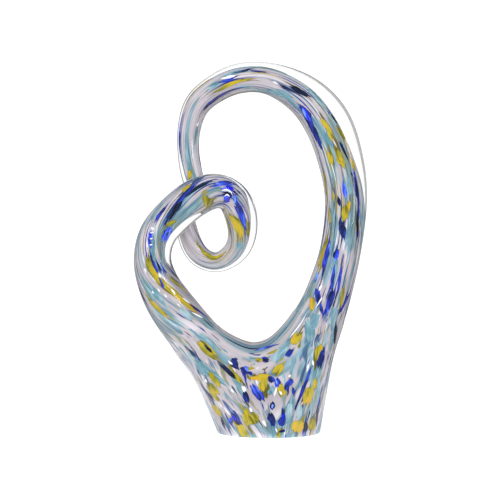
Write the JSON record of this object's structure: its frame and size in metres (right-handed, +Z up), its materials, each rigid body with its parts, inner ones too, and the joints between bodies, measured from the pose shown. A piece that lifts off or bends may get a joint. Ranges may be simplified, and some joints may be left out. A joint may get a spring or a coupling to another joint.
{
  "type": "glass sculpture",
  "caption": "Abstract pulled-glass ornament: two limbs rise from an oval foot, one arching over the top, one curled into a loop, with colour chips under clear glass.",
  "frame": {"origin": "middle of the ground oval foot, on the surface that the sculpture stands on", "axes": "+X to the right in the picture's view, +Y away from the viewer, +Z up"},
  "size_m": [0.1875, 0.0571, 0.3],
  "materials": {
    "clear_glass": "fire-polished clear casing",
    "opal_glass": "opaque white opal with soft grey streaks",
    "cobalt_glass": "deep blue frit chips",
    "amber_glass": "amber yellow frit chips",
    "turquoise_glass": "soft turquoise frit chips"
  },
  "bodies": {
    "root": {"amber_chip_01": "amber_glass", "amber_chip_02": "amber_glass", "amber_chip_03": "amber_glass", "amber_chip_04": "amber_glass", "amber_chip_05": "amber_glass", "amber_chip_06": "amber_glass", "amber_chip_07": "amber_glass", "amber_chip_08": "amber_glass", "amber_chip_09": "amber_glass", "amber_chip_10": "amber_glass", "amber_chip_11": "amber_glass", "amber_chip_12": "amber_glass", "amber_chip_13": "amber_glass", "amber_chip_14": "amber_glass", "amber_chip_15": "amber_glass", "amber_chip_16": "amber_glass", "amber_chip_17": "amber_glass", "amber_chip_18": "amber_glass", "amber_chip_19": "amber_glass", "amber_chip_20": "amber_glass", "amber_chip_21": "amber_glass", "amber_chip_22": "amber_glass", "clear_casing": "clear_glass", "cobalt_chip_01": "cobalt_glass", "cobalt_chip_02": "cobalt_glass", "cobalt_chip_03": "cobalt_glass", "cobalt_chip_04": "cobalt_glass", "cobalt_chip_05": "cobalt_glass", "cobalt_chip_06": "cobalt_glass", "cobalt_chip_07": "cobalt_glass", "cobalt_chip_08": "cobalt_glass", "cobalt_chip_09": "cobalt_glass", "cobalt_chip_10": "cobalt_glass", "cobalt_chip_11": "cobalt_glass", "cobalt_chip_12": "cobalt_glass", "cobalt_chip_13": "cobalt_glass", "cobalt_chip_14": "cobalt_glass", "cobalt_chip_15": "cobalt_glass", "cobalt_chip_16": "cobalt_glass", "cobalt_chip_17": "cobalt_glass", "cobalt_chip_18": "cobalt_glass", "cobalt_chip_19": "cobalt_glass", "cobalt_chip_20": "cobalt_glass", "cobalt_chip_21": "cobalt_glass", "cobalt_chip_22": "cobalt_glass", "cobalt_chip_23": "cobalt_glass", "cobalt_chip_24": "cobalt_glass", "opal_core": "opal_glass", "turquoise_chip_01": "turquoise_glass", "turquoise_chip_02": "turquoise_glass", "turquoise_chip_03": "turquoise_glass", "turquoise_chip_04": "turquoise_glass", "turquoise_chip_05": "turquoise_glass", "turquoise_chip_06": "turquoise_glass", "turquoise_chip_07": "turquoise_glass", "turquoise_chip_08": "turquoise_glass", "turquoise_chip_09": "turquoise_glass", "turquoise_chip_10": "turquoise_glass", "turquoise_chip_11": "turquoise_glass"}
  },
  "joints": []
}
